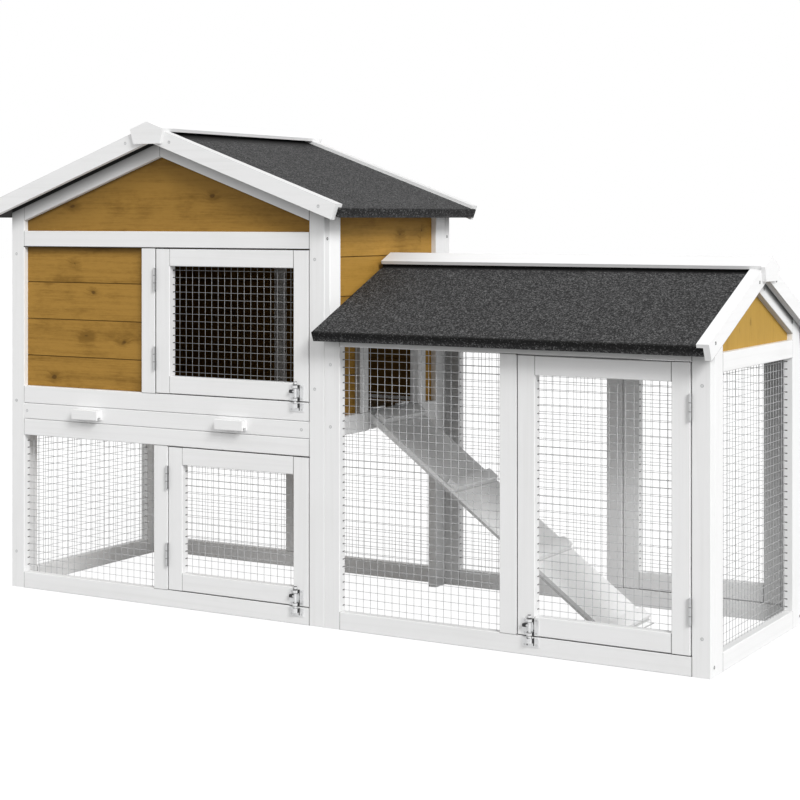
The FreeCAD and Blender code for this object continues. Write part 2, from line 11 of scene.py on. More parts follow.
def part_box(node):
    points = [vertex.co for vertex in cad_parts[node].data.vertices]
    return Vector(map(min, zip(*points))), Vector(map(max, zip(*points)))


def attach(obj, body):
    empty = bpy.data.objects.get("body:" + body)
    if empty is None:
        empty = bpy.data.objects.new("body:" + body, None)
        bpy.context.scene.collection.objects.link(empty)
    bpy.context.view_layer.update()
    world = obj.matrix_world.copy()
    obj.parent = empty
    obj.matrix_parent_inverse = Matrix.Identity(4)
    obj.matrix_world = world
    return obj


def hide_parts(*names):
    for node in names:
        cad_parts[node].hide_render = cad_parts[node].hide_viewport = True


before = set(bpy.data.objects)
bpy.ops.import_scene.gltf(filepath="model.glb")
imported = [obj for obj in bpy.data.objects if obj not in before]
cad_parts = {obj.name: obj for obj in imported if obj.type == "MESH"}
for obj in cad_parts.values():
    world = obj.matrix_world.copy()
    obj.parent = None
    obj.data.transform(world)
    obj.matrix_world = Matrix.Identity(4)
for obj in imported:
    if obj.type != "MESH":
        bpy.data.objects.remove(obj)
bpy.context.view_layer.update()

bl_info = {
    "name": "Small Animal Hutch",
    "version": (1, 0, 0),
    "blender": (4, 5, 0),
    "location": "View3D > Sidebar > Hutch",
    "description": "Paints, boards, roofs and wires a gabled hutch with a run",
    "category": "Object",
}

X, Y, Z = range(3)
MM = 0.001
AXES = (Vector((1, 0, 0)), Vector((0, 1, 0)), Vector((0, 0, 1)))

# Doors and the walls that they hang in, the side that the hinges are on, and how dark the painted shade in
# that gap is
DOORS = {"upper_door": ("house_front_frame", -1, 0.55), "lower_door": ("house_front_frame", -1, 0.1),
         "run_door": ("run_front_frame", 1, 0.0), "rear_run_door": ("run_back_frame", 1, 0.1)}
DOOR_GAP = 1.7 * MM
HINGE_GAP = 2.3 * MM
HOUSE_PITCH = math.radians(19.8)
RUN_PITCH = math.radians(24.0)
RAMP_PITCH = math.radians(36.4)

# Plumb heights of the run's rakes and barge boards
RUN_RAKE_H = 26.7 * MM
RUN_BARGE_H = 29.8 * MM

# Half the width of a dusty joint, and how near a face a point counts as lying on it
HAIRLINE = 0.7 * MM
SKIN = 0.4 * MM

# Depths behind a frame's face: where the painted shade in a door's gap fades out, and the wires' bed, its
# middle and reach
GAP_DEPTH = (4 * MM, 9 * MM)
WIRE_DEPTH = (12.6 * MM, 3.2 * MM)

# Heights between which paint changes: painted light on the right wall's top and on the ramp's foot, painted
# shade below the tray
TOP_LIGHT_Z = (0.50, 0.56)
FOOT_LIGHT_Z = (0.10, 0.30)
TRAY_Z = (0.30, 0.31)

# From a bolt's middle to the painted shade beside its straps, and half that shade's width
STRAP_SIDE = 5.6 * MM
STRAP_SHADE_W = 1.0 * MM

# From a hinge pin's middle to the painted shade beside the knuckles, and to the gaps between them
KNUCKLE_SIDE = 2.7 * MM
KNUCKLE_END = 6.7 * MM

# Tints of the stain: plain boards; gables darker, as painted shade under the roof; the right wall lighter, as
# painted light; the run's end yellower in tone and lighter, as painted light
PLAIN_TINT = (0.96, 0.955, 0.97)
GABLE_SHADE_TINT = (0.85, 0.845, 0.87)
RIGHT_LIGHT_TINT = (1.10, 1.10, 1.08)
END_TONE_AND_LIGHT_TINT = (1.17, 1.28, 1.28)

# What the settings of one kind have in common
COLOUR = {"size": 3, "min": 0, "max": 1, "subtype": "COLOR"}
LENGTH = {"unit": "LENGTH", "precision": 5}
ANGLE = {"subtype": "ANGLE", "unit": "ROTATION"}

# The hutch's own corner: left face of the house, front face, ground
corner = Vector((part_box("house_front_frame")[0].x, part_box("house_front_frame")[0].y, 0))


class TimberSettings(bpy.types.PropertyGroup):
    """Colours of the painted, stained and bare timber."""

    paint: FloatVectorProperty(
        name="Paint", description="White paint on frames, barge boards, tray front and ramp",
        default=(0.85, 0.85, 0.85), **COLOUR)
    paint_shade: FloatVectorProperty(
        name="Paint shade", description="Paint where it lies thin over the grain",
        default=(0.79, 0.79, 0.785), **COLOUR)
    # Painted light: laid on the right wall's front stile and towards the ramp's foot
    painted_light: FloatVectorProperty(
        name="Worn", description="Paint bleached by feet and sun", default=(0.99, 0.99, 0.99), **COLOUR)
    # Dust in the joints is real; in door gaps, round wire ends, under eaves, on back walls and on the ramp
    # this colour is painted shade
    grime_and_shade: FloatVectorProperty(
        name="Grime", description="Dust in joints, in door gaps and round the ends of wires",
        default=(0.05, 0.048, 0.045), **COLOUR)
    stain: FloatVectorProperty(
        name="Stain", description="Golden stain on clear board", default=(0.40, 0.222, 0.044), **COLOUR)
    stain_shade: FloatVectorProperty(
        name="Stain shade", description="Stain on the dark bands of the grain",
        default=(0.215, 0.112, 0.018), **COLOUR)
    # Also painted shade: along the panels' edges and on the boards' inner faces
    knot: FloatVectorProperty(
        name="Knot", description="Heart of a knot, and the seams between boards",
        default=(0.075, 0.036, 0.006), **COLOUR)
    bare: FloatVectorProperty(
        name="Bare wood", description="Uncoated tray and runners", default=(0.34, 0.235, 0.13), **COLOUR)
    bare_shade: FloatVectorProperty(
        name="Bare wood shade", description="Dark bands of the uncoated grain",
        default=(0.23, 0.15, 0.08), **COLOUR)


class RoofSettings(bpy.types.PropertyGroup):
    """Colours and grain of the mineral felt, and its boards."""

    felt: FloatVectorProperty(
        name="Felt", description="Darkest mineral granules", default=(0.014, 0.014, 0.0145), **COLOUR)
    granule: FloatVectorProperty(
        name="Granule", description="Lightest mineral granules", default=(0.165, 0.165, 0.166), **COLOUR)
    granule_size: FloatProperty(
        name="Granule size", description="Distance between granules",
        default=1.8 * MM, min=0.1 * MM, **LENGTH)
    # Painted shade: black on the roof boards, so the eaves' underside reads as deep shade
    board: FloatVectorProperty(
        name="Board", description="Black stain on the roof boards' underside",
        default=(0.010, 0.0095, 0.009), **COLOUR)
    # Also, at half strength, the painted shade on the felt by the ridge and at the run's eave
    board_shade: FloatVectorProperty(
        name="Board shade", description="Dark bands of the roof boards' grain",
        default=(0.004, 0.004, 0.004), **COLOUR)


class WireSettings(bpy.types.PropertyGroup):
    """Welded wire panels."""

    diameter: FloatProperty(
        name="Diameter", description="Thickness of the wire", default=0.82 * MM, min=0.1 * MM, **LENGTH)
    pitch_across: FloatProperty(
        name="Pitch across", description="Distance between upright wires",
        default=13.7 * MM, min=1 * MM, **LENGTH)
    pitch_up: FloatProperty(
        name="Pitch up", description="Distance between cross wires",
        default=12.7 * MM, min=1 * MM, **LENGTH)
    sides: IntProperty(name="Sides", description="Flats round each wire", default=8, min=4, max=16)
    zinc: FloatVectorProperty(
        name="Zinc", description="Galvanised coat of the wire", default=(0.57, 0.575, 0.58), **COLOUR)
    zinc_shade: FloatVectorProperty(
        name="Zinc shade", description="Dull patches of the wire's coat",
        default=(0.42, 0.425, 0.43), **COLOUR)


class HardwareSettings(bpy.types.PropertyGroup):
    """Hinges, bolts and screws."""

    zinc: FloatVectorProperty(
        name="Zinc", description="Bright plating of hinges, bolts and screws",
        default=(0.86, 0.865, 0.87), **COLOUR)
    zinc_shade: FloatVectorProperty(
        name="Zinc shade", description="Dull patches of the plating", default=(0.62, 0.625, 0.63), **COLOUR)
    knob: FloatVectorProperty(
        name="Knob", description="Black of each bolt's knob", default=(0.018, 0.018, 0.019), **COLOUR)
    knob_length: FloatProperty(
        name="Knob length", description="Reach of the black from the knob's end",
        default=5.6 * MM, min=0, **LENGTH)
    hinge: FloatVectorProperty(
        name="Hinge", description="Plating of the hinges", default=(0.66, 0.665, 0.67), **COLOUR)
    # Painted shade beside the knuckles, round the bolts' rings and straps and the keepers' straps, and on the
    # screws that face right
    crease_shade: FloatVectorProperty(
        name="Crease", description="Oily dust beside the knuckles and the straps that hold the bolts",
        default=(0.05, 0.05, 0.05), **COLOUR)
    head_d: FloatProperty(
        name="Screw head", description="Diameter of a countersunk wood screw's head",
        default=5.6 * MM, min=1 * MM, **LENGTH)
    small_head: FloatProperty(
        name="Small head", description="Share of that size on the bolts' plates",
        default=0.62, min=0.1, max=1)
    head_rise: FloatProperty(
        name="Head rise", description="Height of the head above the timber",
        default=0.25 * MM, min=0, **LENGTH)
    head_depth: FloatProperty(
        name="Head depth", description="Depth of the head in the timber",
        default=1.6 * MM, min=0.1 * MM, **LENGTH)
    slot_w: FloatProperty(
        name="Slot width", description="Width of the cross recess",
        default=0.9 * MM, min=0.1 * MM, **LENGTH)
    slot_depth: FloatProperty(
        name="Slot depth", description="Depth of the cross recess",
        default=1.2 * MM, min=0.1 * MM, **LENGTH)


class RampSettings(bpy.types.PropertyGroup):
    """Battens across the ramp."""

    width: FloatProperty(
        name="Width", description="Batten's size along the ramp", default=22 * MM, min=1 * MM, **LENGTH)
    thickness: FloatProperty(
        name="Thickness", description="Batten's height on the ramp", default=10 * MM, min=1 * MM, **LENGTH)
    inset: FloatProperty(
        name="Inset", description="Batten's ends from the ramp's edges", default=4 * MM, min=0, **LENGTH)
    easing: FloatProperty(
        name="Easing", description="Rounding of the edges", default=1.2 * MM, min=0.1 * MM, **LENGTH)
    block: FloatProperty(
        name="Block", description="Height of the plain block that a batten replaces",
        default=11 * MM, min=1 * MM, **LENGTH)


class StageSettings(bpy.types.PropertyGroup):
    """Floor, light and camera."""

    floor: FloatVectorProperty(name="Floor", description="Pale floor", default=(0.97, 0.97, 0.97), **COLOUR)
    floor_size: FloatProperty(
        name="Floor size", description="Side of the floor", default=40.0, min=1, **LENGTH)
    bounce: FloatVectorProperty(
        name="Bounce", description="How pale the floor is to the hutch",
        default=(0.42, 0.42, 0.42), **COLOUR)
    key: FloatProperty(
        name="Key light", description="Strength of the light from the front right", default=2.0, min=0)
    key_from: FloatVectorProperty(
        name="Key from", description="Way to the key light", default=(0.70, -0.45, 0.53), size=3,
        subtype="DIRECTION")
    key_spread: FloatProperty(
        name="Key spread", description="Width of the key light", default=math.radians(20), **ANGLE)
    fill: FloatProperty(
        name="Fill light", description="Strength of the low light from the right", default=0.40, min=0)
    fill_from: FloatVectorProperty(
        name="Fill from", description="Way to the fill light", default=(0.96, -0.12, 0.25), size=3,
        subtype="DIRECTION")
    fill_spread: FloatProperty(
        name="Fill spread", description="Width of the fill light", default=math.radians(70), **ANGLE)
    sky: FloatProperty(name="Sky", description="Strength of the light from all round", default=0.775, min=0)
    lens: FloatProperty(name="Lens", description="Focal length in millimetres", default=81.8, min=1)
    camera: FloatVectorProperty(
        name="Camera", description="Place of the camera",
        default=corner + Vector((2.3104, -2.5442, 0.679)), size=3, subtype="TRANSLATION", unit="LENGTH")
    turn: FloatProperty(
        name="Turn", description="Camera's turn from straight ahead", default=math.radians(30.19), **ANGLE)
    drop: FloatProperty(
        name="Drop", description="Share of the picture's width by which the view is shifted down",
        default=0.22676, min=0, max=1)


class Value:
    """A node's output that plain arithmetic extends with Math nodes."""

    def __init__(self, graph, socket):
        self.graph = graph
        self.socket = socket

    def math(self, operation, *others):
        inputs = dict(enumerate((self,) + others))
        return self.graph.node("ShaderNodeMath", {"operation": operation}, inputs)

    def __add__(self, other):
        return self.math("ADD", other)

    def __mul__(self, other):
        return self.math("MULTIPLY", other)

    def __sub__(self, other):
        return self.math("SUBTRACT", other)

    def __rsub__(self, other):
        return self.graph.node("ShaderNodeMath", {"operation": "SUBTRACT"}, {0: other, 1: self})

    def __gt__(self, other):
        return self.math("GREATER_THAN", other)

    def __abs__(self):
        return self.math("ABSOLUTE")

    __radd__ = __add__
    __rmul__ = __mul__

    def near(self, centre, reach):
        """1 within reach of a centre, 0 beyond."""
        return self.math("COMPARE", centre, reach)

    def between(self, low, high, room=0.0):
        """1 between two ends, each moved out by some room."""
        return self.near((low + high) / 2, (high - low) / 2 + room)

    def smooth(self, low, high):
        """0 below low, 1 above high, with an even rise between."""
        return self.graph.node("ShaderNodeMapRange", {"interpolation_type": "SMOOTHSTEP"},
                               {"Value": self, "From Min": low, "From Max": high})

    def fade(self, low, high):
        """1 below low, 0 above high, with an even fall between."""
        return 1.0 - self.smooth(low, high)


class Graph:
    """Nodes of a material or a world, written as expressions."""

    def __init__(self, tree):
        self.tree = tree

    def node(self, kind, settings=None, inputs=None, output=0):
        """Add a node: its settings first, then the values or links of its sockets."""
        node = self.tree.nodes.new(kind)
        for key, setting in (settings or {}).items():
            setattr(node, key, setting)
        for key, value in (inputs or {}).items():
            self.feed(node.inputs[key], value)
        return Value(self, node.outputs[output])

    def feed(self, socket, value):
        if isinstance(value, Value):
            self.tree.links.new(value.socket, socket)
        else:
            socket.default_value = value

    def split(self, vector):
        node = self.node("ShaderNodeSeparateXYZ", None, {0: vector}).socket.node
        return [Value(self, output) for output in node.outputs]

    def join(self, x, y, z):
        return self.node("ShaderNodeCombineXYZ", None, {0: x, 1: y, 2: z})

    def scaled(self, vector, factors):
        return self.node("ShaderNodeVectorMath", {"operation": "MULTIPLY"}, {0: vector, 1: factors})

    def mix(self, factor, first, second):
        """Blend two colours."""
        return self.node("ShaderNodeMix", {"data_type": "RGBA"}, {0: factor, 6: first, 7: second}, 2)

    def mix_vectors(self, factor, first, second):
        return self.node("ShaderNodeMix", {"data_type": "VECTOR"}, {0: factor, 4: first, 5: second}, 1)

    def noise(self, vector, scale=1.0, detail=2.0, roughness=0.5, distortion=0.0):
        inputs = {"Vector": vector, "Scale": scale, "Detail": detail, "Roughness": roughness,
                  "Distortion": distortion}
        return self.node("ShaderNodeTexNoise", None, inputs)

    def random(self, value):
        """A steady random number for each whole value."""
        return self.node("ShaderNodeTexWhiteNoise", {"noise_dimensions": "1D"}, {"W": value})

    def cells(self, vector, scale=1.0, dimensions="3D"):
        """Distance to the nearest cell's middle, and a random number for that cell."""
        node = self.node("ShaderNodeTexVoronoi", {"voronoi_dimensions": dimensions},
                         {"Vector": vector, "Scale": scale}).socket.node
        tone = self.split(Value(self, node.outputs["Color"]))[0]
        return Value(self, node.outputs["Distance"]), tone

    def strongest(self, masks):
        """The strongest of several masks, or 0 where there are none."""
        top = 0.0
        for mask in masks:
            top = mask.math("MAXIMUM", top)
        return top


class Finish(Graph):
    """A procedural material on Object coordinates."""

    def __init__(self, name):
        self.material = bpy.data.materials.new(name)
        self.material.use_nodes = True
        super().__init__(self.material.node_tree)
        self.shader = self.tree.nodes["Principled BSDF"]
        self.place = self.node("ShaderNodeTexCoord", None, None, 3)
        self.parts = self.split(self.place)
        self.x, self.y, self.z = self.parts

    def inside(self, low, high, axes, room=0.0):
        """1 within a rectangle on two axes, grown by some room."""
        first, second = [self.parts[axis].between(low[axis], high[axis], room) for axis in axes]
        return first * second

    def surface(self, sockets):
        for name, value in sockets.items():
            self.feed(self.shader.inputs[name], value)

    def ground(self, colour):
        """Set the colour that later coats go over."""
        self.base = colour
        self.surface({"Base Color": colour})

    def over(self, mask, colour):
        """Lay a colour over what is there, as strongly as a mask says."""
        self.ground(self.mix(mask, self.base, colour))

    def bump(self, height, distance):
        inputs = {"Strength": 1.0, "Distance": distance, "Height": height}
        self.surface({"Normal": self.node("ShaderNodeBump", None, inputs)})


def rgba(colour, factor=1.0):
    return tuple(channel * factor for channel in colour) + (1.0,)


def tinted(colour, tint):
    return tuple(channel * factor for channel, factor in zip(colour, tint)) + (1.0,)


def stretch(axis, along, across):
    """Scale factors that draw a pattern out along one axis."""
    factors = [across] * 3
    factors[axis] = along
    return tuple(factors)


def coat(node, finish):
    """Give a node of the frame its finish."""
    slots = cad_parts[node].data.materials
    slots.clear()
    slots.append(finish.material)


def box_round(points):
    return tuple(Vector([pick(point[i] for point in points) for i in range(3)]) for pick in (min, max))


def members(node):
    """The box round each solid in a node, whose triangles follow each other until they close."""
    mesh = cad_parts[node].data
    boxes = []
    points = []
    open_edges = set()
    for face in mesh.polygons:
        corners = [mesh.vertices[i].co for i in face.vertices]
        points += corners
        keys = [tuple(round(value, 5) for value in point) for point in corners]
        for ends in zip(keys, keys[1:] + keys[:1]):
            open_edges ^= {tuple(sorted(ends))}
        if not open_edges:
            boxes.append(box_round(points))
            points = []
    return boxes


def longest(low, high):
    size = high - low
    return max(range(3), key=lambda axis: size[axis])


def middle_of(node):
    low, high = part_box(node)
    return (low + high) / 2


def roof_middle(node):
    """Middle of the roof that a node stands under."""
    return middle_of("house_roof_boards" if node.startswith("house") else "run_roof_boards")


def wall_of(node):
    """How a flat node stands: the axes along and through it, its outer face, and the way in from there."""
    low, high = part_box(node)
    along, through = (X, Y) if high.x - low.x > high.y - low.y else (Y, X)
    inward = 1 if (low + high)[through] / 2 < roof_middle(node)[through] else -1
    return along, through, (low if inward > 0 else high)[through], inward


def runs(values, widest):
    """Ends of each run of sorted values that has no gap wider than the widest allowed."""
    ends = [[values[0], values[0]]]
    for value in values:
        if value - ends[-1][1] > widest:
            ends.append([value, value])
        ends[-1][1] = value
    return ends


def panes(node, pitch):
    """Corners of each opening that a node's wire fills."""
    low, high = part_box(node)
    along = wall_of(node)[0]
    places = sorted({round(vert.co[along], 6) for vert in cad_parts[node].data.vertices})
    openings = []
    for start, end in runs(places, 1.5 * pitch):
        pane = low.copy(), high.copy()
        pane[0][along] = start
        pane[1][along] = end
        openings.append(pane)
    return openings


def spaced(start, end, pitch):
    """First place and number of places at a steady pitch, centred between two ends."""
    count = int((end - start) / pitch + 1e-6)
    return (start + end - (count - 1) * pitch) / 2, count


def joint_lines(finish, boxes, axes):
    """Hairlines where two members of a frame butt against each other."""
    lines = []
    for low, high in boxes:
        for low_2, high_2 in boxes:
            for axis, other in (axes, axes[::-1]):
                start = max(low[other], low_2[other])
                end = min(high[other], high_2[other])
                if abs(high[axis] - low_2[axis]) < 0.3 * MM and end - start > 5 * MM:
                    line = finish.parts[axis].near(low_2[axis], HAIRLINE)
                    lines.append(line * finish.parts[other].between(start, end) * 0.55)
    return lines


def gap_shade_edges(finish, node, axes, depth):
    """Painted shade on the edges of a door and of the opening that it closes, as far in as the gap shows."""
    edges = []
    shallow = depth.fade(*GAP_DEPTH)
    for door, (wall, hinge_side, hinge_gap_shade) in DOORS.items():
        if node not in (wall, door + "_frame"):
            continue
        low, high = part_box(door + "_frame")
        here = finish.inside(low, high, axes, 3 * MM) * shallow
        # How dark the painted shade is in each gap: hinge side, latch side, bottom and top
        for axis, way, dust in ((X, hinge_side, hinge_gap_shade), (X, -hinge_side, 0.4),
                                (Z, -1, 0.6), (Z, 1, 0.85)):
            room = HINGE_GAP if axis == X and way == hinge_side else DOOR_GAP
            edge = (low if way < 0 else high)[axis] + way * room / 2
            edges.append(finish.parts[axis].near(edge, room / 2 + 0.12 * MM) * here * dust)
    return edges


def wire_end_shade(finish, node, axes, depth, wire):
    """Painted shade on the timber beside an opening, where the cross wires run into it."""
    mesh = node.replace("_frame", "_mesh")
    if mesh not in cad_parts:
        return []
    marks = []
    band = depth.near(*WIRE_DEPTH)
    along = axes[0]
    for low, high in panes(mesh, wire.pitch_across):
        first = spaced(low.z, high.z, wire.pitch_up)[0]
        step = ((finish.z - first) * (1 / wire.pitch_up) + 0.5).math("FRACT")
        spot = step.near(0.5, 0.95 * MM / wire.pitch_up)
        sides = 1.0 - finish.parts[along].between(low[along], high[along], -0.5 * MM)
        marks.append(finish.inside(low, high, axes, 0.15 * MM) * band * spot * sides * 0.92)
    return marks


def painted_finish(name, grain, timber, uprights=()):
    """Satin white paint, with the timber's grain showing faintly through it."""
    finish = Finish(name)
    lying = finish.scaled(finish.place, stretch(grain, 3.0, 130.0))
    standing = finish.scaled(finish.place, stretch(Z, 3.0, 130.0))
    upright = finish.strongest([finish.inside(low, high, (grain, Z)) for low, high in uprights])
    grained = finish.mix_vectors(upright, lying, standing)
    streak = finish.noise(grained, 1.0, 3.0, 0.55, 0.4)
    fibre = finish.noise(grained, 5.0, 2.0, 0.6)
    patch = finish.noise(finish.place, 9.0, 2.0)
    thin = streak.smooth(0.42, 0.80) * 0.6 + patch.smooth(0.4, 0.8) * 0.3
    finish.ground(finish.mix(thin, rgba(timber.paint), rgba(timber.paint_shade)))
    finish.surface({"Roughness": 0.42 + 0.2 * fibre})
    finish.bump(streak * 0.6 + fibre * 0.4, 0.14 * MM)
    return finish


def below_roof(finish, node):
    """How far a point is below the slopes that meet at the top of a gabled node."""
    across, pitch = (X, HOUSE_PITCH) if node.startswith("house") else (Y, RUN_PITCH)
    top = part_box(node)[1].z
    out = abs(finish.parts[across] - middle_of(node)[across])
    return top - out * math.tan(pitch) - finish.z


def eave_shade(finish, node):
    """Painted shade on the sloping members below the barge boards, and on rails under the run's eaves."""
    if node in ("run_front_frame", "run_back_frame"):
        return (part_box(node)[1].z - finish.z).fade(18 * MM, 40 * MM) * 0.5
    if node not in ("house_front_frame", "house_back_frame", "run_end_frame", "house_barge_boards",
                    "run_barge_boards"):
        return None
    under = below_roof(finish, node)
    if node == "house_barge_boards":
        return under.fade(0.4 * MM, 1.2 * MM) * 0.14
    if node == "run_barge_boards":
        return under.near(RUN_BARGE_H, 0.6 * MM) * 0.55
    if node == "run_end_frame":
        low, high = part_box("run_end_gable")
        gable = finish.y.near(middle_of(node).y, (high.y - low.y) / 2)
        lower_edge = under.near(RUN_RAKE_H, 0.5 * MM) * gable * 0.5
        return finish.strongest([lower_edge, under.fade(5 * MM, 17 * MM) * gable * 0.7])
    broad = under.fade(-3 * MM, 14 * MM) * 0.45 + under.fade(0.0, 45 * MM) * 0.45
    left = 1.0 - (finish.x > middle_of(node).x)
    return finish.strongest([broad, under.fade(5 * MM, 7.5 * MM) * left])


def back_wall_shade(finish, node, depth, thickness):
    """Painted shade on a back wall's inner face, growing towards its ends and the roof or the tray above it.
    """
    grown = (finish.z * 1.45).math("MINIMUM", 0.66)
    if node == "house_back_frame":
        grown = grown * finish.z.fade(*TRAY_Z)
    else:
        grown = grown * abs(finish.x - roof_middle(node).x).smooth(0.20, 0.28)
    return grown * depth.near(thickness, 0.6 * MM)


def ramp_foot_light(finish):
    """Painted light: the paint grows paler towards the ramp's foot."""
    return finish.z.fade(*FOOT_LIGHT_Z)


def ramp_shade(finish, node):
    """Painted shade on the ramp's near edge, below its battens, and in two lines at its foot."""
    slope, rise = math.cos(RAMP_PITCH), math.sin(RAMP_PITCH)
    top = max(vert.co.x * rise + vert.co.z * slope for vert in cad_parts[node].data.vertices)
    under = top - finish.x * rise - finish.z * slope
    down = finish.x * slope - finish.z * rise
    edge = finish.y.near(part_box(node)[0].y, SKIN)
    ramp_shade_marks = [edge * under.smooth(4.5 * MM, 6.5 * MM) * finish.z.fade(0.20, 0.30) * 0.55,
            edge * finish.z.fade(0.05, 0.19) * 0.36]
    for low, high in members("ramp_cleats"):
        middle = (low + high) / 2
        foot_of_batten = middle.x * slope - middle.z * rise + 13 * MM
        ramp_shade_marks.append(down.near(foot_of_batten, 1.6 * MM) * under.fade(0.3 * MM, 0.6 * MM) * 0.3)
    return ramp_shade_marks + [finish.z.near(height, 0.8 * MM) * 0.5 for height in (0.6 * MM, 6.6 * MM)]


def painted(node, grain, timber, wire, shadow_lines=()):
    """Paint a node, with dust in its joints, painted shade in door gaps, round wire ends, under the gable
    rail and eaves, on back walls' inner faces and on the ramp, and painted light on the right wall's front
    stile and the ramp's foot.
    """
    boxes = members(node)
    uprights = [box for box in boxes if longest(*box) == Z]
    finish = painted_finish(node + "_paint", grain, timber, uprights)
    grime_and_shade = rgba(timber.grime_and_shade)
    painted_light = rgba(timber.painted_light)
    low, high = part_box(node)
    if node.endswith("_frame"):
        along, through, face, inward = wall_of(node)
        axes = (along, Z)
        depth = (finish.parts[through] - face) * inward
        # Dark joints and corner seams are real dust; the door gaps, wire ends and the line under the gable
        # rail are painted shade
        dust = joint_lines(finish, boxes, axes) + gap_shade_edges(finish, node, axes, depth)
        dust += wire_end_shade(finish, node, axes, depth, wire)
        dust += [finish.inside(start, end, axes, 1.2 * MM) * 0.9 for start, end in shadow_lines]
        if node in ("house_left_frame", "house_right_frame"):
            dust += [finish.parts[along].near(end[along], HAIRLINE) * 0.4 for end in (low, high)]
        finish.over(finish.strongest(dust), grime_and_shade)
        if node == "house_right_frame":
            # Painted shade on the side of the front jamb of the right wall's doorway
            jamb = min((box[0] for box in uprights if box[0].z > TRAY_Z[0]), key=lambda foot: foot.y)
            finish.over(finish.y.near(jamb.y, SKIN) * finish.z.smooth(jamb.z, jamb.z + 1 * MM) * 0.6, grime_and_shade)
            # Painted light: the right wall's front stile grows paler towards its top
            finish.over(finish.y.near(low.y, 40 * MM) * finish.z.smooth(*TOP_LIGHT_Z), painted_light)
        # Painted shade on the back walls' inner faces
        if node in ("house_back_frame", "run_back_frame", "rear_run_door_frame"):
            finish.over(back_wall_shade(finish, node, depth, (high - low)[through]), grime_and_shade)
    # Painted shade below the barge boards and under the run's eaves
    eave_shading = eave_shade(finish, node)
    if eave_shading:
        finish.over(eave_shading, rgba(timber.grime_and_shade, 0.08))
    # Painted light towards the ramp's foot, then painted shade on its edges
    if node == "ramp_board":
        finish.over(ramp_foot_light(finish), painted_light)
        finish.over(finish.strongest(ramp_shade(finish, node)), grime_and_shade)
    coat(node, finish)


class PaintTimber(bpy.types.Operator):
    """Paint the frames, doors, barge boards, ridge caps, tray front and ramp white"""

    bl_idname = "hutch.paint_timber"
    bl_label = "Paint timber"

    def execute(self, context):
        scene = context.scene
        along_x = ["house_back_frame", "run_front_frame", "run_back_frame", "house_barge_boards",
                   "run_ridge_cap", "tray_front", "tray_handles", "ramp_board", "house_apex_plates"]
        along_x += [door + "_frame" for door in DOORS]
        along_y = ["house_left_frame", "house_right_frame", "run_end_frame", "run_barge_boards",
                   "house_ridge_cap", "run_apex_plate"]
        for nodes, grain in ((along_x, X), (along_y, Y)):
            for node in nodes:
                painted(node, grain, scene.hutch_timber, scene.hutch_wire)
        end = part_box("upper_door_frame")[1] + Vector((DOOR_GAP, 0, DOOR_GAP))
        start = Vector((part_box("house_front_planks")[0].x, end.y, end.z))
        painted("house_front_frame", X, scene.hutch_timber, scene.hutch_wire, [(start, end)])
        return {"FINISHED"}


def panel_edge_shade(finish, node):
    """Painted shade along a panel's top edge under the rail or roof, and along the front panel's right edge
    beside the frame.
    """
    if node == "house_gable_panels":
        edge = below_roof(finish, node)
        return [edge.fade(-4 * MM, 7 * MM) * 0.6 + edge.fade(0.0, 60 * MM) * 0.32]
    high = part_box(node)[1]
    top = high.z - finish.z
    if node == "house_front_planks":
        return [top.fade(-4 * MM, 16 * MM) * 0.85, (high.x - finish.x).fade(-3 * MM, 10 * MM) * 0.6]
    return [top.fade(-4 * MM, 24 * MM) * 0.3]


